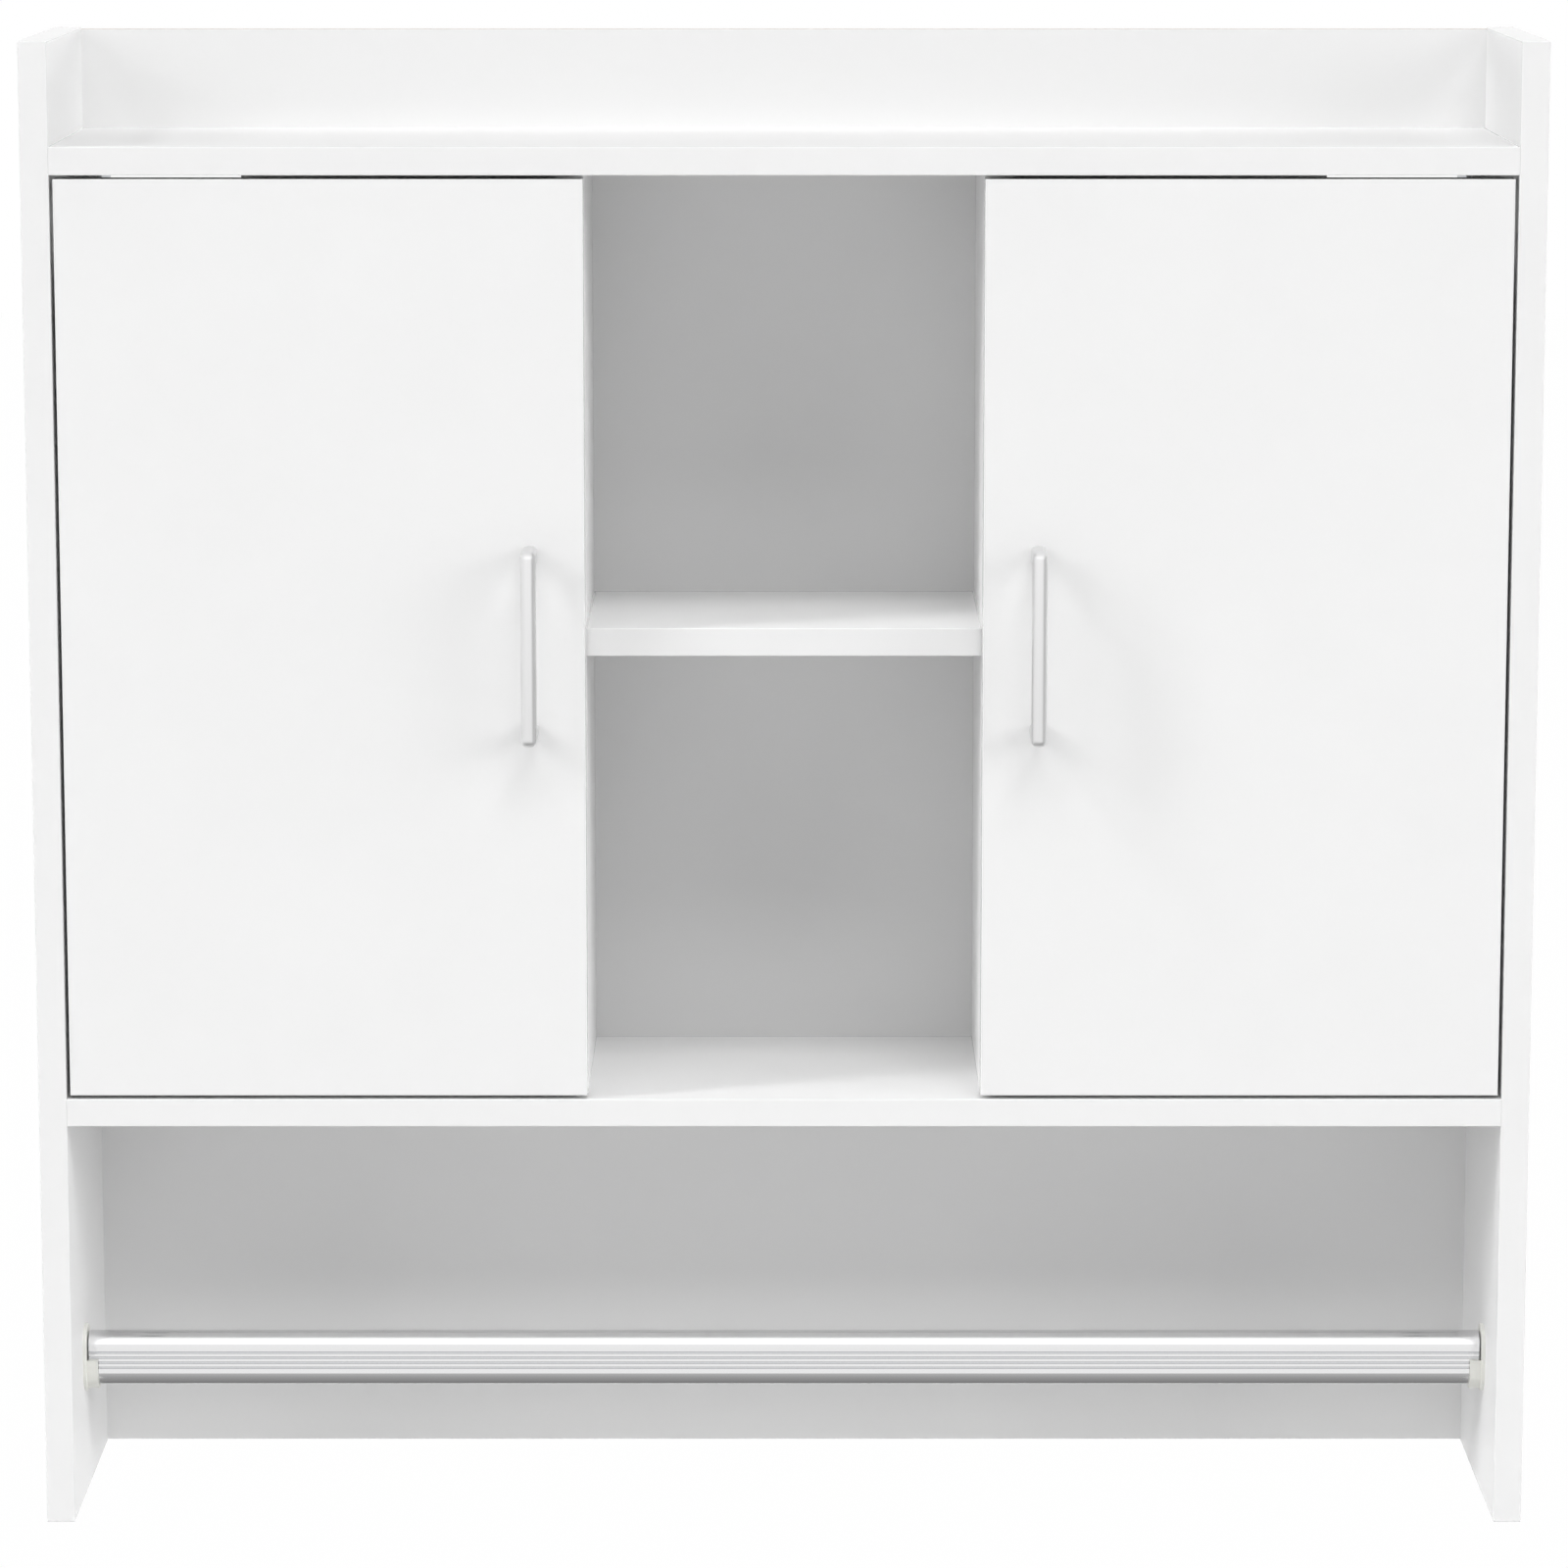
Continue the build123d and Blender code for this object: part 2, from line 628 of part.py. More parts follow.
with BuildPart() as hinge_arm:
    with BuildSketch():
        with BuildLine() as spine:
            FilletPolyline(
                (0, 0),
                (neck_middle, 0),
                (neck_middle, elbow_y),
                (web_x, elbow_y + crank_rise),
                (web_x, plate_end),
                radius=arm_bend,
            )
        trace(line_width=arm_strip)
        Circle(eye_radius)
        Circle(pin_radius + fit, mode=Mode.SUBTRACT)
    extrude(amount=arm_width / 2, both=True)
    with BuildSketch(Plane.XZ.offset(-plate_start)):
        with Locations((side_face_x + plate_wing + seat_room, 0)):
            with GridLocations(arm_width - arm_wall, arm_width - arm_wall, 1, 2):
                wall_height = plate_rise - plate_wing - seat_room + arm_strip / 2
                Rectangle(wall_height, arm_wall, align=(Align.MIN, Align.CENTER))
    extrude(amount=-plate_length)
    with Locations(facing_x(web_x + arm_strip / 2, plate_start + arm_screw_step, 0)):
        Hole(arm_screw.radius + fit, arm_strip)

with BuildPart() as hinge_plate:
    with BuildSketch(Plane.YZ.offset(side_face_x)):
        with Locations((plate_start, 0)):
            rib_width = arm_width - 2 * (arm_wall + seat_room)
            Rectangle(plate_length, rib_width, align=(Align.MIN, Align.CENTER))
    extrude(amount=plate_rise)
    with BuildSketch(Plane.YZ.offset(side_face_x)):
        with Locations((plate_start + plate_screw_step, 0)):
            RectangleRounded(plate_wing_width, plate_wing_length, plate_wing_width / 4)
    extrude(amount=plate_wing)
    wing_y = plate_start + plate_screw_step
    with Locations(*[facing_x(side_face_x + plate_wing, wing_y, way * plate_screw_spread) for way in sides]):
        Hole(plate_screw.radius + fit, plate_wing)
    with Locations(facing_x(side_face_x + plate_rise, plate_start + arm_screw_step, 0)):
        Hole(arm_screw.radius + fit, arm_screw.length - arm_strip)

plate_screws = pair(group(turned(plate_screw), [place.offset(plate_wing) for place in plate_screws_left]))
arm_screw_x = pin_x + web_x + arm_strip / 2
arm_screw_y = pin_y + plate_start + arm_screw_step
arm_screw_places = [facing_x(arm_screw_x, arm_screw_y, z) for z in hinge_heights]
arm_screws = pair(group(turned(arm_screw), arm_screw_places))

# Everything in its place
pieces = {
    "left_side_panel": left_side_panel,
    "right_side_panel": mirrored(left_side_panel),
    "top_board": top_board,
    "bottom_board": bottom_board,
    "left_divider": left_divider,
    "right_divider": mirrored(left_divider),
    "middle_shelf": middle_shelf,
    "left_inner_shelf": left_inner_shelf,
    "right_inner_shelf": mirrored(left_inner_shelf),
    "back_panel": back_panel,
    "cam_locks": cam_locks,
    "cam_bolts": cam_bolts,
    "dowels": dowels,
    "nails": nails,
    "shelf_pegs": shelf_pegs,
    "left_hanger": left_hanger,
    "right_hanger": mirrored(left_hanger),
    "left_hook": left_hook,
    "right_hook": mirrored(left_hook),
    "hanger_adjusters": hanger_adjusters,
    "hanger_screws": hanger_screws,
    "towel_rail": towel_rail,
    "left_rail_socket": left_rail_socket,
    "right_rail_socket": mirrored(left_rail_socket),
    "socket_screws": socket_screws,
    "plate_screws": plate_screws,
    "arm_screws": arm_screws,
    "left_door": left_door,
    "right_door": mirrored(left_door),
    "left_handle": left_handle,
    "right_handle": mirrored(left_handle),
    "left_handle_screws": left_handle_screws,
    "right_handle_screws": mirrored(left_handle_screws),
    "left_cup_screws": left_cup_screws,
    "right_cup_screws": mirrored(left_cup_screws),
    "left_bumpers": left_bumpers,
    "right_bumpers": mirrored(left_bumpers),
}
hinge_pieces = {"cup": hinge_cup, "pin": hinge_pin, "arm": hinge_arm, "plate": hinge_plate}
for level, z in zip(("upper", "lower"), hinge_heights):
    for kind, piece in hinge_pieces.items():
        placed = group(piece, [(pin_x, pin_y, z)])
        pieces[f"left_{level}_hinge_{kind}"] = placed
        pieces[f"right_{level}_hinge_{kind}"] = mirrored(placed)

for name, piece in pieces.items():
    piece.part.label = name
    export_step(piece.part, f"parts/{name}.step")
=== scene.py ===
import json
import math

import bmesh
import bpy
from mathutils import Matrix, Vector


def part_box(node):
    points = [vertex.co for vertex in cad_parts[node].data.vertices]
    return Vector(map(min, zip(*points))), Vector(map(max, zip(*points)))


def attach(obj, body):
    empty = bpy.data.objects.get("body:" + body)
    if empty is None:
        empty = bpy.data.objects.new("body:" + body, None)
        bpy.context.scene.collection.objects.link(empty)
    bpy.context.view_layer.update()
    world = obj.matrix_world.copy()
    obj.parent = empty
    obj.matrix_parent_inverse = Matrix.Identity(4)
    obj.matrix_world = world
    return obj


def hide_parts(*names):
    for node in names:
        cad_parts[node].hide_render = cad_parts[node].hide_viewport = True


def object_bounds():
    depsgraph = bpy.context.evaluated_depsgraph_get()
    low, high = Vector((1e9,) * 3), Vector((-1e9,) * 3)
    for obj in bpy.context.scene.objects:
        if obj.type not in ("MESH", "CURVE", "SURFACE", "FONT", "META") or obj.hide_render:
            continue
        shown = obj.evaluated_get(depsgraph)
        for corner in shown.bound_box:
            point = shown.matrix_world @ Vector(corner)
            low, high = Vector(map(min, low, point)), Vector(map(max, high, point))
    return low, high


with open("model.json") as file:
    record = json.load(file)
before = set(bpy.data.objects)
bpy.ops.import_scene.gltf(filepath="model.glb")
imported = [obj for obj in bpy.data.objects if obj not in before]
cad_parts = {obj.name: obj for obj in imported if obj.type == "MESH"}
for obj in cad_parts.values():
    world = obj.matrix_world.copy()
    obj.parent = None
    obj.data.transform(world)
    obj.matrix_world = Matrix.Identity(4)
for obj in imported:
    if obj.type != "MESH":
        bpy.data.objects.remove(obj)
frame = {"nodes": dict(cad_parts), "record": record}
nodes = frame["nodes"]
bodies = frame["record"]["behaviour"]["bodies"]
bodyOf = {node: body for body, members in bodies.items() for node in members}
cadLow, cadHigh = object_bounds()
scene = bpy.context.scene
scene.view_settings.view_transform = "Standard"
mm = 0.001  # pieces are in metres, sizes below in millimetres
smoothAngle = math.radians(35)  # edges that turn by more stay sharp
print("frame loaded:", len(nodes), "nodes")


# helpers
def linear(hexColour):  # sRGB hex to linear RGBA
    parts = [int(hexColour[i:i + 2], 16) / 255 for i in (1, 3, 5)]
    return [p / 12.92 if p <= 0.04045 else ((p + 0.055) / 1.055) ** 2.4 for p in parts] + [1]


def perMetre(sizeMm):  # texture scale that gives a feature of this size
    return 1 / (sizeMm * mm)


def addNode(tree, kind, inputs={}, **settings):
    node = tree.nodes.new(kind)
    for name, value in settings.items():
        setattr(node, name, value)
    for name, value in inputs.items():
        if isinstance(value, bpy.types.NodeSocket):
            tree.links.new(value, node.inputs[name])
        else:
            node.inputs[name].default_value = value
    return node


def emptyTree(owner):  # the node tree of a material or a world, emptied
    owner.use_nodes = True
    owner.node_tree.nodes.clear()
    return owner.node_tree


def newFinish(name):
    finish = bpy.data.materials.new(name)
    tree = emptyTree(finish)
    shader = addNode(tree, "ShaderNodeBsdfPrincipled")
    addNode(tree, "ShaderNodeOutputMaterial", {"Surface": shader.outputs["BSDF"]})
    place = addNode(tree, "ShaderNodeTexCoord").outputs["Object"]
    return finish, tree, shader, place


def dress(tree, shader, colour, rough, bump):  # links what varies over a surface
    for socket, value in (("Base Color", colour), ("Roughness", rough), ("Normal", bump)):
        tree.links.new(value, shader.inputs[socket])


def paint(finish, *names):
    for name in names:
        slots = nodes[name].data.materials
        slots.clear()
        slots.append(finish)


def fromMiddle(tree, place, low, high):  # how far a point lies from the middle of a box, along each axis
    middle = (low + high) / 2
    away = addNode(tree, "ShaderNodeVectorMath", {0: place, 1: middle}, operation="SUBTRACT").outputs[0]
    away = addNode(tree, "ShaderNodeVectorMath", {0: away}, operation="ABSOLUTE").outputs[0]
    return addNode(tree, "ShaderNodeSeparateXYZ", {0: away}).outputs


def newVerts(grown):  # the vertices that an extrusion made
    return [item for item in grown["geom"] if isinstance(item, bmesh.types.BMVert)]


def toMesh(shape, name, finish):
    mesh = bpy.data.meshes.new(name)
    shape.to_mesh(mesh)
    shape.free()
    mesh.shade_smooth()
    mesh.set_sharp_from_angle(angle=smoothAngle)
    mesh.materials.append(finish)
    return mesh


def addObject(name, data):
    thing = bpy.data.objects.new(name, data)
    scene.collection.objects.link(thing)
    return thing


# boards
chipboard = {"light": "#CDB084", "dark": "#8A6A42", "chip": 2.6}
melamine = {"white": "#EBEBEB", "shade": "#E8E8E8", "cloud": 70, "ior": 1.5,
            "pearl": 2.4, "smoothest": 0.38, "roughest": 0.52, "relief": 0.25, "reliefDepth": 0.03,
            "banding": 0.9, "bandingRough": 0.2, "rearSkin": 0.1}
boards = ["left_side_panel", "right_side_panel", "top_board", "bottom_board", "left_divider",
          "right_divider", "middle_shelf", "left_inner_shelf", "right_inner_shelf", "left_door", "right_door"]


def chipColour(tree, place):  # pressed wood chips, pale and dark flakes
    chips = addNode(tree, "ShaderNodeTexVoronoi", {"Vector": place, "Scale": perMetre(chipboard["chip"])})
    return addNode(tree, "ShaderNodeMix", {
        "Factor": chips.outputs["Color"],
        6: linear(chipboard["light"]),
        7: linear(chipboard["dark"]),
    }, data_type="RGBA").outputs[2]


def belowSkin(tree, place, low, high):  # for each axis, 1 where a point lies deeper than the banding
    apart = fromMiddle(tree, place, low, high)
    half = (high - low) / 2 - Vector((1, 1, 1)) * melamine["banding"] * mm
    return [addNode(tree, "ShaderNodeMath", {0: apart[axis], 1: half[axis]},
                    operation="LESS_THAN").outputs[0] for axis in range(3)]


def melamineBoard(name, board):
    # Melamine faced chipboard: white paper pressed on with a pearl plate, so the gloss is faintly grainy.
    # Its edges have a smoother plastic banding, which mirrors at a low angle. Drilled holes and the edge
    # that faces the wall are bare chipboard.
    finish, tree, shader, place = newFinish(name)
    low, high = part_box(board)
    thin = min(range(3), key=lambda axis: high[axis] - low[axis])
    deep = belowSkin(tree, place, low, high)
    wide, tall = [deep[axis] for axis in range(3) if axis != thin]
    face = addNode(tree, "ShaderNodeMath", {0: wide, 1: tall}, operation="MULTIPLY").outputs[0]
    bare = addNode(tree, "ShaderNodeMath", {0: face, 1: deep[thin]}, operation="MULTIPLY").outputs[0]
    depth = addNode(tree, "ShaderNodeSeparateXYZ", {0: place}).outputs[1]
    rear = addNode(tree, "ShaderNodeMath", {0: depth, 1: cadHigh.y - melamine["rearSkin"] * mm},
                   operation="GREATER_THAN").outputs[0]
    bare = addNode(tree, "ShaderNodeMath", {0: bare, 1: rear}, operation="MAXIMUM").outputs[0]
    pearl = addNode(tree, "ShaderNodeTexNoise", {  # coarser than the real 0.5 mm grain, which wouldn't show
        "Vector": place, "Scale": perMetre(melamine["pearl"]), "Detail": 2}).outputs[0]
    cloud = addNode(tree, "ShaderNodeTexNoise", {"Vector": place, "Scale": perMetre(melamine["cloud"])})
    white = addNode(tree, "ShaderNodeMix", {
        "Factor": cloud.outputs[0],
        6: linear(melamine["white"]),
        7: linear(melamine["shade"]),
    }, data_type="RGBA").outputs[2]
    colour = addNode(tree, "ShaderNodeMix", {"Factor": bare, 6: white, 7: chipColour(tree, place)},
                     data_type="RGBA").outputs[2]
    sheen = addNode(tree, "ShaderNodeMapRange", {
        "Value": pearl, "To Min": melamine["smoothest"], "To Max": melamine["roughest"]}).outputs[0]
    sheen = addNode(tree, "ShaderNodeMix", {"Factor": face, 2: melamine["bandingRough"], 3: sheen}).outputs[0]
    rough = addNode(tree, "ShaderNodeMath", {0: sheen, 1: bare}, operation="MAXIMUM").outputs[0]
    relief = addNode(tree, "ShaderNodeMath", {0: pearl, 1: face}, operation="MULTIPLY").outputs[0]
    grain = addNode(tree, "ShaderNodeBump", {
        "Height": relief, "Strength": melamine["relief"], "Distance": melamine["reliefDepth"] * mm})
    dress(tree, shader, colour, rough, grain.outputs[0])
    shader.inputs["IOR"].default_value = melamine["ior"]
    return finish


for board in boards:
    paint(melamineBoard("melamine_" + board, board), board)

# back panel
hardboard = {"white": "#E7E7E7", "lacquer": 0.3, "peel": 4, "frontRough": 0.45, "rearRough": 0.8,
             "brown": "#A58159", "fibre": "#77583A", "fibreLength": 15, "fibreWidth": 1.5,
             "pale": "#B08D63", "blotch": 45, "blotchFrom": 0.4, "blotchTo": 0.7, "blotchShare": 0.7,
             "relief": 0.2, "reliefDepth": 0.05}


def lacqueredHardboard():
    # Hardboard sheet: white lacquer rolled on the front, with a soft orange peel. Behind it is bare, mottled
    # brown fibre, drawn coarser than the real one, which wouldn't show.
    finish, tree, shader, place = newFinish("lacquered_hardboard")
    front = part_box("back_panel")[0].y
    depth = addNode(tree, "ShaderNodeSeparateXYZ", {0: place}).outputs[1]
    behind = addNode(tree, "ShaderNodeMath", {0: depth, 1: front + hardboard["lacquer"] * mm},
                     operation="GREATER_THAN").outputs[0]
    stretched = addNode(tree, "ShaderNodeMapping", {
        "Vector": place, "Scale": (1, 1, hardboard["fibreWidth"] / hardboard["fibreLength"])})
    fibres = addNode(tree, "ShaderNodeTexNoise", {
        "Vector": stretched.outputs[0], "Scale": perMetre(hardboard["fibreWidth"]), "Detail": 4}).outputs[0]
    peel = addNode(tree, "ShaderNodeTexNoise", {
        "Vector": place, "Scale": perMetre(hardboard["peel"])}).outputs[0]
    brown = addNode(tree, "ShaderNodeMix", {
        "Factor": fibres,
        6: linear(hardboard["brown"]),
        7: linear(hardboard["fibre"]),
    }, data_type="RGBA").outputs[2]
    blotches = addNode(tree, "ShaderNodeTexNoise", {
        "Vector": place, "Scale": perMetre(hardboard["blotch"]), "Detail": 5, "Roughness": 0.65}).outputs[0]
    patchy = addNode(tree, "ShaderNodeMapRange", {
        "Value": blotches, "From Min": hardboard["blotchFrom"], "From Max": hardboard["blotchTo"],
        "To Min": 0, "To Max": hardboard["blotchShare"]}).outputs[0]
    brown = addNode(tree, "ShaderNodeMix", {
        "Factor": patchy, 6: brown, 7: linear(hardboard["pale"])}, data_type="RGBA").outputs[2]
    colour = addNode(tree, "ShaderNodeMix", {
        "Factor": behind, 6: linear(hardboard["white"]), 7: brown}, data_type="RGBA").outputs[2]
    rough = addNode(tree, "ShaderNodeMapRange", {
        "Value": behind, "To Min": hardboard["frontRough"], "To Max": hardboard["rearRough"]}).outputs[0]
    relief = addNode(tree, "ShaderNodeMix", {"Factor": behind, 2: peel, 3: fibres}).outputs[0]
    bump = addNode(tree, "ShaderNodeBump", {
        "Height": relief, "Strength": hardboard["relief"], "Distance": hardboard["reliefDepth"] * mm})
    dress(tree, shader, colour, rough, bump.outputs[0])
    return finish


paint(lacqueredHardboard(), "back_panel")
print("boards and back panel painted")

# metals: along is the axis of the drawn lines, streak the width of a line or of the grain
metals = {
    # drawn and bright anodised: long, nearly mirror-like bands down the length
    "anodised_aluminium_rail": {"colour": "#EBEBEB", "shade": "#E7E7E8", "smoothest": 0.09, "roughest": 0.13,
                                "streak": 0.8, "along": 0, "relief": 0.02},
    # brushed upwards, so that the highlights are wide and soft
    "satin_aluminium_handle": {"colour": "#EBEBEB", "shade": "#E7E7E7", "smoothest": 0.38, "roughest": 0.44,
                               "streak": 0.8, "along": 2, "relief": 0.02},
    # pressed and plated: bright, a little warm, slightly uneven
    "nickel_plated_steel": {"colour": "#D9D7D2", "shade": "#C9C7C1", "smoothest": 0.18, "roughest": 0.3,
                            "streak": 3, "along": None, "relief": 0.15},
    # bluish plating with a soft sheen
    "zinc_plated_steel": {"colour": "#C6CACD", "shade": "#A9AEB3", "smoothest": 0.28, "roughest": 0.42,
                          "streak": 2, "along": None, "relief": 0.15},
    # grey and dull, as it leaves the die
    "die_cast_zinc": {"colour": "#A6A8AA", "shade": "#8E9092", "smoothest": 0.45, "roughest": 0.6,
                      "streak": 1.2, "along": None, "relief": 0.15},
}
metalGrain = {"stretch": 1000, "depth": 0.02}  # a drawn line is this many times as long as it is wide


def metal(name):
    look = metals[name]
    finish, tree, shader, place = newFinish(name)
    scale = [1, 1, 1]
    if look["along"] is not None:
        scale[look["along"]] = 1 / metalGrain["stretch"]
    lines = addNode(tree, "ShaderNodeMapping", {"Vector": place, "Scale": scale})
    streaks = addNode(tree, "ShaderNodeTexNoise", {
        "Vector": lines.outputs[0], "Scale": perMetre(look["streak"]), "Detail": 3}).outputs[0]
    tone = addNode(tree, "ShaderNodeMix", {
        "Factor": streaks, 6: linear(look["colour"]), 7: linear(look["shade"])}, data_type="RGBA")
    rough = addNode(tree, "ShaderNodeMapRange", {
        "Value": streaks, "To Min": look["smoothest"], "To Max": look["roughest"]})
    bump = addNode(tree, "ShaderNodeBump", {
        "Height": streaks, "Strength": look["relief"], "Distance": metalGrain["depth"] * mm})
    dress(tree, shader, tone.outputs[2], rough.outputs[0], bump.outputs[0])
    shader.inputs["Metallic"].default_value = 1
    return finish


# colour of the painted shade in the rail's flutes, and how far below the surface it starts
paintedFluteShade = {"shade": "#CFD0D2", "skin": 0.12}


def paintFluteShade(finish):  # painted shade: the flutes' colour is darkened where shade falls in them
    tree = finish.node_tree
    low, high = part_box("towel_rail")
    thick = (high.y - low.y) / 2
    flat = (high.z - low.z) / 2 - thick
    place = addNode(tree, "ShaderNodeTexCoord").outputs["Object"]
    apart = fromMiddle(tree, place, low, high)
    sunk = addNode(tree, "ShaderNodeMath", {0: apart[1], 1: thick - paintedFluteShade["skin"] * mm},
                   operation="LESS_THAN").outputs[0]
    within = addNode(tree, "ShaderNodeMath", {0: apart[2], 1: flat}, operation="LESS_THAN").outputs[0]
    grooveShade = addNode(tree, "ShaderNodeMath", {0: sunk, 1: within}, operation="MULTIPLY").outputs[0]
    colour = tree.nodes["Principled BSDF"].inputs["Base Color"]
    tone = addNode(tree, "ShaderNodeMix", {
        "Factor": grooveShade, 6: colour.links[0].from_socket, 7: linear(paintedFluteShade["shade"])}, data_type="RGBA")
    tree.links.new(tone.outputs[2], colour)


hinges = [side + level for side in ("left_", "right_") for level in ("upper_hinge_", "lower_hinge_")]
railMetal = metal("anodised_aluminium_rail")
# painted shade in the rail's flutes
paintFluteShade(railMetal)
paint(railMetal, "towel_rail")
satinAluminium = metal("satin_aluminium_handle")
paint(metal("nickel_plated_steel"),
      *[hinge + piece for hinge in hinges for piece in ("cup", "pin", "arm", "plate")])
zincPlate = metal("zinc_plated_steel")
paint(zincPlate, "nails", "cam_bolts", "left_hook", "right_hook", "shelf_pegs")
paint(metal("die_cast_zinc"), "cam_locks")
print("metals painted")

# plastics, wood and rubber
plastics = {
    "white_moulded_plastic": {"colour": "#EBEBEB", "shade": "#E6E6E6", "rough": 0.38},
    "ivory_moulded_plastic": {"colour": "#E3E3DE", "shade": "#DEDED8", "rough": 0.34},
}
mould = {"grit": 1.5, "roughSpread": 0.06, "relief": 0.2, "depth": 0.02, "ior": 1.53}
beech = {"pale": "#DDBE93", "dark": "#C49F6D", "fleck": 1.6, "rough": 0.65}
rubber = {"colour": "#F2F2EE", "haze": 2, "clearest": 0.1, "cloudiest": 0.3, "transmission": 0.8, "ior": 1.5}


def moulded(name):
    # Injection moulded plastic: one colour through and through, a spark eroded grain that dulls the gloss
    look = plastics[name]
    finish, tree, shader, place = newFinish(name)
    grain = addNode(tree, "ShaderNodeTexNoise", {
        "Vector": place, "Scale": perMetre(mould["grit"]), "Detail": 2}).outputs[0]
    tone = addNode(tree, "ShaderNodeMix", {
        "Factor": grain, 6: linear(look["colour"]), 7: linear(look["shade"])}, data_type="RGBA")
    gloss = addNode(tree, "ShaderNodeMapRange", {
        "Value": grain, "To Min": look["rough"] - mould["roughSpread"],
        "To Max": look["rough"] + mould["roughSpread"]})
    bump = addNode(tree, "ShaderNodeBump", {
        "Height": grain, "Strength": mould["relief"], "Distance": mould["depth"] * mm})
    dress(tree, shader, tone.outputs[2], gloss.outputs[0], bump.outputs[0])
    shader.inputs["IOR"].default_value = mould["ior"]
    return finish


def beechWood():
    # Turned beech: pale pinkish tan with short darker flecks
    finish, tree, shader, place = newFinish("turned_beech")
    flecks = addNode(tree, "ShaderNodeTexNoise", {
        "Vector": place, "Scale": perMetre(beech["fleck"]), "Detail": 4}).outputs[0]
    tone = addNode(tree, "ShaderNodeMix", {
        "Factor": flecks, 6: linear(beech["pale"]), 7: linear(beech["dark"])}, data_type="RGBA")
    tree.links.new(tone.outputs[2], shader.inputs["Base Color"])
    shader.inputs["Roughness"].default_value = beech["rough"]
    return finish


def clearRubber():
    # Cast polyurethane dots: clear, soft and slightly cloudy
    finish, tree, shader, place = newFinish("clear_polyurethane")
    haze = addNode(tree, "ShaderNodeTexNoise", {
        "Vector": place, "Scale": perMetre(rubber["haze"])}).outputs[0]
    rough = addNode(tree, "ShaderNodeMapRange", {
        "Value": haze, "To Min": rubber["clearest"], "To Max": rubber["cloudiest"]})
    tree.links.new(rough.outputs[0], shader.inputs["Roughness"])
    shader.inputs["Base Color"].default_value = linear(rubber["colour"])
    shader.inputs["Transmission Weight"].default_value = rubber["transmission"]
    shader.inputs["IOR"].default_value = rubber["ior"]
    return finish


paint(moulded("white_moulded_plastic"), "left_hanger", "right_hanger")
paint(moulded("ivory_moulded_plastic"), "left_rail_socket", "right_rail_socket")
paint(beechWood(), "dowels")
paint(clearRubber(), "left_bumpers", "right_bumpers")
print("fittings painted")

# handles: bars with tight bends, rounded along the outer side
handle = {"thick": 8, "bend": 4, "innerBend": 1.5, "round": 3, "steps": 8}


def handleMesh(low, high):  # the side view, drawn out to the width of the bar
    shape = bmesh.new()
    thick = handle["thick"] * mm
    near = thick / 100
    outer = [(high.y, high.z), (low.y, high.z), (low.y, low.z), (high.y, low.z)]
    inner = [(high.y, low.z + thick), (low.y + thick, low.z + thick),
             (low.y + thick, high.z - thick), (high.y, high.z - thick)]
    side = shape.faces.new([shape.verts.new((low.x, y, z)) for y, z in outer + inner])
    grown = bmesh.ops.extrude_face_region(shape, geom=[side])
    bmesh.ops.translate(shape, verts=newVerts(grown), vec=(high.x - low.x, 0, 0))

    def acrossBar(edge):
        return abs(edge.verts[0].co.x - edge.verts[1].co.x) > near

    def atCorner(vert, corners):
        return any((Vector(corner) - vert.co.yz).length < near for corner in corners)

    def onOuter(vert):
        return min(vert.co.y - low.y, high.z - vert.co.z, vert.co.z - low.z) < thick / 2

    def roundOff(edges, radius):
        bmesh.ops.bevel(shape, geom=edges, offset=radius * mm, offset_type="OFFSET",
                        segments=handle["steps"], profile=0.5, affect="EDGES", material=-1)

    for corners, radius in ((outer[1:3], handle["bend"]), (inner[1:3], handle["innerBend"])):
        roundOff([edge for edge in shape.edges if acrossBar(edge)
                  and all(atCorner(vert, corners) for vert in edge.verts)], radius)
    roundOff([edge for edge in shape.edges if not acrossBar(edge)
              and all(onOuter(vert) for vert in edge.verts)], handle["round"])
    bmesh.ops.recalc_face_normals(shape, faces=shape.faces)
    return toMesh(shape, "handle_bar", satinAluminium)


for node in ("left_handle", "right_handle"):
    bar = addObject(node + "_bar", handleMesh(*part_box(node)))
    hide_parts(node)
    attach(bar, bodyOf[node])
print("handles modelled")

# screws: pan heads with a cross recess, and a rolled thread on a thinner core
screwHead = {"flat": 0.74, "shoulder": 0.94, "rim": 0.14, "cross": 0.11,  # shares of its radius
             "shoulderUp": 0.88, "sideUp": 0.6, "deep": 0.65, "chamfer": 1 / 3,  # shares of its height
             "sides": 24, "taper": 0.6}
screwShank = {"core": 0.74, "point": 1.2,  # shares of its radius
              "tip": 0.25, "root": 0.9,  # shares of the core
              "flank": 0.42, "runOut": 2.5, "steps": 16}  # in pitches, and steps for each turn
merge, touch = 0.001 * mm, 0.01 * mm  # points this near are one point, or on one level
inwards, backwards, forwards = None, Vector((0, 1, 0)), Vector((0, -1, 0))  # where the heads point
screwGroups = {
    "plate_screws": {"pitch": 2.0, "heads": inwards},
    "arm_screws": {"pitch": 0.8, "heads": inwards},
    "hanger_screws": {"pitch": 1.6, "heads": inwards},
    "socket_screws": {"pitch": 1.5, "heads": inwards},
    "hanger_adjusters": {"pitch": 1.2, "heads": forwards},
    "left_cup_screws": {"pitch": 1.5, "heads": backwards},
    "right_cup_screws": {"pitch": 1.5, "heads": backwards},
    "left_handle_screws": {"pitch": 0.8, "heads": backwards},
    "right_handle_screws": {"pitch": 0.8, "heads": backwards},
}


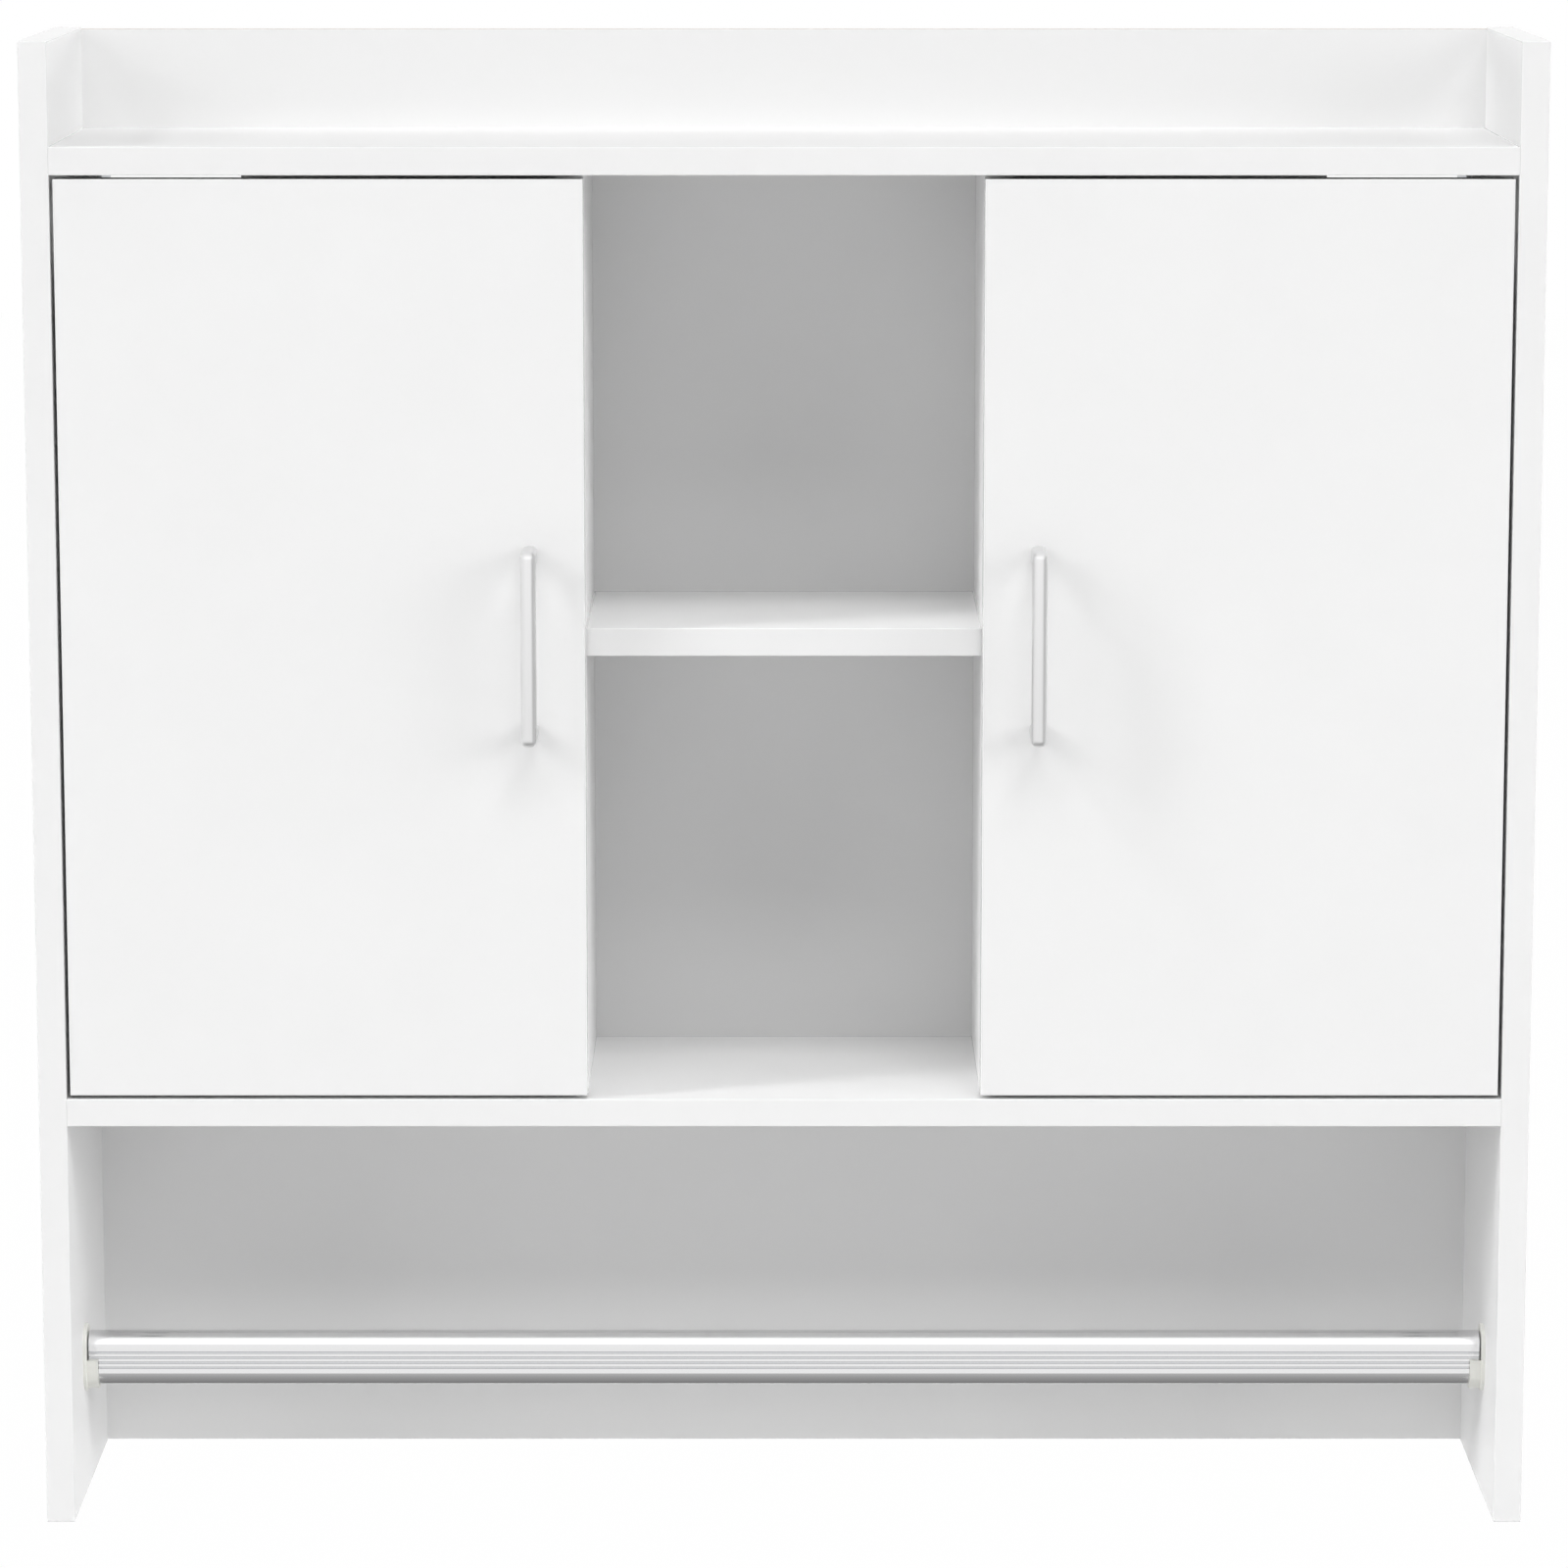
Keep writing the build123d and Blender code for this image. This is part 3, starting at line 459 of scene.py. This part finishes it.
def islands(mesh):  # the separate solids of a node, each as a list of points
    copy = bmesh.new()
    copy.from_mesh(mesh)
    bmesh.ops.remove_doubles(copy, verts=copy.verts, dist=merge)
    loose = dict.fromkeys(copy.verts)  # keeps the mesh's order, so that each run is the same
    found = []
    while loose:
        island = [loose.popitem()[0]]
        for vert in island:
            for edge in vert.link_edges:
                neighbour = edge.other_vert(vert)
                if neighbour in loose:
                    del loose[neighbour]
                    island.append(neighbour)
        found.append([vert.co.copy() for vert in island])
    copy.free()
    return found


def measureScrew(points, turn):  # sizes of one of the frame's screws and its seat, with the head turned up
    upright = [turn.transposed() @ point for point in points]
    sides = [[point[axis] for point in upright] for axis in range(2)]
    centre = Vector([(min(places) + max(places)) / 2 for places in sides])
    levels = sorted({round(point.z / mm, 3) * mm for point in upright})
    headHeight = (levels[-1] - levels[-2]) / screwHead["chamfer"]  # the top level is above a chamfer
    seat = levels[-1] - headHeight
    tip = [point for point in upright if point.z < levels[0] + touch]
    headRadius, radius = [max((point.xy - centre).length for point in part) for part in (upright, tip)]
    sizes = (headRadius, headHeight, radius, seat - levels[0])
    return tuple(round(size / mm, 2) * mm for size in sizes), (*centre, seat)


def turnedBody(shape, headRadius, headHeight, core, point, length):  # head and core; returns the head's top
    flat = headRadius * screwHead["flat"]
    bmesh.ops.create_circle(shape, cap_ends=True, segments=screwHead["sides"], radius=flat)
    bmesh.ops.translate(shape, verts=shape.verts, vec=(0, 0, headHeight))
    shape.faces.ensure_lookup_table()
    top = shape.faces[0]
    ring = top.edges[:]
    profile = [(headRadius * screwHead["shoulder"], headHeight * screwHead["shoulderUp"]),
               (headRadius, headHeight * screwHead["sideUp"]), (headRadius, 0),
               (core, 0), (core, point - length), (core * screwShank["tip"], -length)]
    for wide, level in profile:  # the ring is drawn down the side of the head and along the core
        verts = newVerts(bmesh.ops.extrude_edge_only(shape, edges=ring))
        ring = [edge for vert in verts for edge in vert.link_edges if edge.other_vert(vert) in verts]
        ring = list(dict.fromkeys(ring))
        was = verts[0].co.copy()
        narrow = wide / was.to_2d().length
        bmesh.ops.scale(shape, verts=verts, vec=(narrow, narrow, 1))
        bmesh.ops.translate(shape, verts=verts, vec=(0, 0, level - was.z))
    bmesh.ops.edgeloop_fill(shape, edges=ring)
    return top


def sinkCross(shape, top, headRadius, headHeight):  # the recess, narrower at its floor
    rim = headRadius * screwHead["rim"]
    bmesh.ops.inset_individual(shape, faces=[top], thickness=rim)
    within = headRadius * screwHead["flat"] - rim / 2
    half = headRadius * screwHead["cross"]

    def insideRim():
        return [face for face in shape.faces if all(
            abs(vert.co.z - headHeight) < headHeight / 100 and vert.co.to_2d().length < within
            for vert in face.verts)]

    for axis in (Vector((1, 0, 0)), Vector((0, 1, 0))):
        for way in (-half, half):
            geom = [part for face in insideRim() for part in (face, *face.edges, *face.verts)]
            bmesh.ops.bisect_plane(shape, geom=list(dict.fromkeys(geom)), plane_co=axis * way, plane_no=axis)
    middles = [(face, face.calc_center_median()) for face in insideRim()]
    cross = [face for face, middle in middles if min(abs(middle.x), abs(middle.y)) < half]
    floor = newVerts(bmesh.ops.extrude_face_region(shape, geom=cross))
    bmesh.ops.delete(shape, geom=cross, context="FACES")  # the extrusion leaves the recess covered
    bmesh.ops.scale(shape, verts=floor, vec=(screwHead["taper"], screwHead["taper"], 1))
    bmesh.ops.translate(shape, verts=floor, vec=(0, 0, -screwHead["deep"] * headHeight))


def windThread(shape, radius, core, point, length, pitch):  # a triangle wound round the core
    root = core * screwShank["root"]
    flank = pitch * screwShank["flank"]
    start = point + pitch - length
    corners = [(root, -flank), (radius, 0), (root, flank)]
    verts = [shape.verts.new((across, 0, start + along)) for across, along in corners]
    face = shape.faces.new(verts)
    turns = (length - point) / pitch - screwShank["runOut"]
    steps = round(turns * screwShank["steps"])
    bmesh.ops.spin(shape, geom=[face, *face.edges, *verts], cent=(0, 0, 0), axis=(0, 0, 1), steps=steps,
                   dvec=(0, 0, pitch * turns / steps), angle=2 * math.pi * turns, use_merge=False)


def screwMesh(headRadius, headHeight, radius, length, pitch):  # seat of the head at Z = 0, shank downwards
    shape = bmesh.new()
    core = radius * screwShank["core"]
    point = radius * screwShank["point"]
    top = turnedBody(shape, headRadius, headHeight, core, point, length)
    sinkCross(shape, top, headRadius, headHeight)
    windThread(shape, radius, core, point, length, pitch)
    bmesh.ops.recalc_face_normals(shape, faces=shape.faces)
    return toMesh(shape, "screw", zincPlate)


for node, group in screwGroups.items():
    shape = bmesh.new()
    templates = {}  # one mesh for each size of screw in the group
    for points in islands(nodes[node].data):
        heads = group["heads"] or Vector((-math.copysign(1, points[0].x), 0, 0))
        turn = heads.to_track_quat("Z", "Y").to_matrix()
        size, seat = measureScrew(points, turn)
        if size not in templates:
            templates[size] = screwMesh(*size, group["pitch"] * mm)
        first = len(shape.verts)
        shape.from_mesh(templates[size])
        shape.verts.ensure_lookup_table()
        place = turn.to_4x4() @ Matrix.Translation(seat)
        bmesh.ops.transform(shape, matrix=place, verts=shape.verts[first:])
    screws = addObject(node + "_threaded", toMesh(shape, node + "_threaded", zincPlate))
    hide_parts(node)
    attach(screws, bodyOf[node])
print("screws modelled:", len(screwGroups), "groups")

# studio: two narrow strips on the left, soft lamps above and to both sides, a pair behind
studio = {"ambient": 0.01, "floorDrop": 2.2, "floorSize": 60, "floorColour": "#F1F1F1", "floorGlow": 0.97}
lamps = {
    "strip_low": {"azimuth": -70, "elevation": 30, "spread": 9, "strength": 0.12},
    "strip_high": {"azimuth": -70, "elevation": 46, "spread": 9, "strength": 0.2},
    "left_low": {"azimuth": -60, "elevation": 20, "spread": 40, "strength": 0.28},
    "above_right": {"azimuth": 20, "elevation": 57, "spread": 24, "strength": 0.33},
    "above_left": {"azimuth": -20, "elevation": 57, "spread": 24, "strength": 0.21},
    "right_high": {"azimuth": 60, "elevation": 25, "spread": 40, "strength": 0.27},
    "right_low": {"azimuth": 75, "elevation": 12, "spread": 40, "strength": 0.28},
    "rear_left": {"azimuth": -158, "elevation": 5, "spread": 10, "strength": 0.3},
    "rear_right": {"azimuth": 158, "elevation": 5, "spread": 10, "strength": 0.3},
}
cards = {  # out of sight, seen only in metal: sheets whose glow paints reflections into it, painted shade below and to the right, a painted highlight above the camera
    "card_below": {"centre": (0, -0.5, -0.85), "size": (2.6, 2.0), "turn": 0, "front": 0.6, "rear": 0.16},
    "card_right": {"centre": (1.5, -1.3, 0.2), "size": (2.4, 2.2), "turn": 90, "front": 0.55, "rear": 0.55},
    "highlight_card": {"centre": (0, -5.4, 0.9), "size": (3.0, 9.0), "turn": 0, "front": 1.4, "rear": 1.4},
}


def seenDirectly(tree):  # 1 for what the camera sees, straight or in metal and glass
    path = addNode(tree, "ShaderNodeLightPath").outputs
    shiny = addNode(tree, "ShaderNodeMath", {0: path["Is Glossy Ray"], 1: path["Is Transmission Ray"]},
                    operation="MAXIMUM").outputs[0]
    return addNode(tree, "ShaderNodeMath", {0: path["Is Camera Ray"], 1: shiny},
                   operation="MAXIMUM").outputs[0]


def stageSheet(name, size, turn, centre, finish):  # a flat sheet that isn't part of the object
    shape = bmesh.new()
    bmesh.ops.create_grid(shape, x_segments=1, y_segments=1, size=0.5)
    bmesh.ops.scale(shape, verts=shape.verts, vec=(*size, 1))
    bmesh.ops.rotate(shape, verts=shape.verts, matrix=Matrix.Rotation(math.radians(turn), 3, "Y"))
    bmesh.ops.translate(shape, verts=shape.verts, vec=centre)
    sheet = addObject(name, toMesh(shape, name, finish))
    return sheet


def floorPaint():  # pale matt floor, nearly white to the camera, so that it keeps only a hint of shadow
    finish = bpy.data.materials.new("pale_studio_floor")
    tree = emptyTree(finish)
    matt = addNode(tree, "ShaderNodeBsdfDiffuse", {"Color": linear(studio["floorColour"])}).outputs[0]
    glow = addNode(tree, "ShaderNodeEmission", {"Color": (1, 1, 1, 1), "Strength": 1}).outputs[0]
    share = addNode(tree, "ShaderNodeMath", {0: seenDirectly(tree), 1: studio["floorGlow"]},
                    operation="MULTIPLY").outputs[0]
    mixed = addNode(tree, "ShaderNodeMixShader", {0: share, 1: matt, 2: glow})
    addNode(tree, "ShaderNodeOutputMaterial", {"Surface": mixed.outputs[0]})
    return finish


def paintedReflection(name, card):  # painted reflection: a glow, seen only in metal, that fades from the card's front edge to its rear edge
    finish = bpy.data.materials.new(name + "_painted_reflection")
    tree = emptyTree(finish)
    place = addNode(tree, "ShaderNodeTexCoord").outputs["Object"]
    depth = addNode(tree, "ShaderNodeSeparateXYZ", {0: place}).outputs[1]
    middle, reach = card["centre"][1], card["size"][1] / 2
    fade = addNode(tree, "ShaderNodeMapRange", {
        "Value": depth, "From Min": middle - reach, "From Max": middle + reach,
        "To Min": card["front"], "To Max": card["rear"]})
    glow = addNode(tree, "ShaderNodeEmission", {"Strength": fade.outputs[0]})
    addNode(tree, "ShaderNodeOutputMaterial", {"Surface": glow.outputs[0]})
    return finish


world = bpy.data.worlds.new("white_studio")
worldTree = emptyTree(world)
scene.world = world
strength = addNode(worldTree, "ShaderNodeMapRange", {
    "Value": seenDirectly(worldTree), "To Min": studio["ambient"], "To Max": 1})
background = addNode(worldTree, "ShaderNodeBackground", {
    "Color": (1, 1, 1, 1), "Strength": strength.outputs[0]})
addNode(worldTree, "ShaderNodeOutputWorld", {"Surface": background.outputs[0]})

floorSize = (studio["floorSize"], studio["floorSize"])
stageSheet("studio_floor", floorSize, 0, (0, 0, cadLow.z - studio["floorDrop"]), floorPaint())

for name, lamp in lamps.items():
    light = bpy.data.lights.new(name, "SUN")
    light.energy = lamp["strength"] * math.pi  # at 1, a face turned to the lamp shows its own colour
    light.angle = math.radians(lamp["spread"])
    azimuth, elevation = math.radians(lamp["azimuth"]), math.radians(lamp["elevation"])
    towards = Vector((math.sin(azimuth) * math.cos(elevation), -math.cos(azimuth) * math.cos(elevation),
                      math.sin(elevation)))
    holder = addObject(name, light)
    holder.rotation_euler = towards.to_track_quat("Z", "Y").to_euler()
    holder.visible_glossy = False  # metal mirrors the white room and the cards

# each card is hidden from the camera, from diffuse light and from shadows, so it shows only as a painted
# reflection in metal
for name, card in cards.items():
    sheet = stageSheet(name, card["size"], card["turn"], card["centre"], paintedReflection(name, card))
    for sight in ("visible_camera", "visible_diffuse", "visible_transmission", "visible_shadow"):
        setattr(sheet, sight, False)

# camera: in front of the cabinet's middle, a little above its top and looking slightly down
shot = {"distance": 3.1, "height": 0.55, "tilt": 9.18, "lens": 135.8, "sensor": 36, "shift": -0.05}
cameraData = bpy.data.cameras.new("camera")
cameraData.lens = shot["lens"]
cameraData.sensor_width = shot["sensor"]
cameraData.shift_y = shot["shift"]
camera = addObject("camera", cameraData)
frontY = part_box("left_side_panel")[0].y
camera.location = (0, frontY - shot["distance"], shot["height"])
camera.rotation_euler = (math.radians(90 - shot["tilt"]), 0, 0)
scene.camera = camera
print("studio and camera ready")
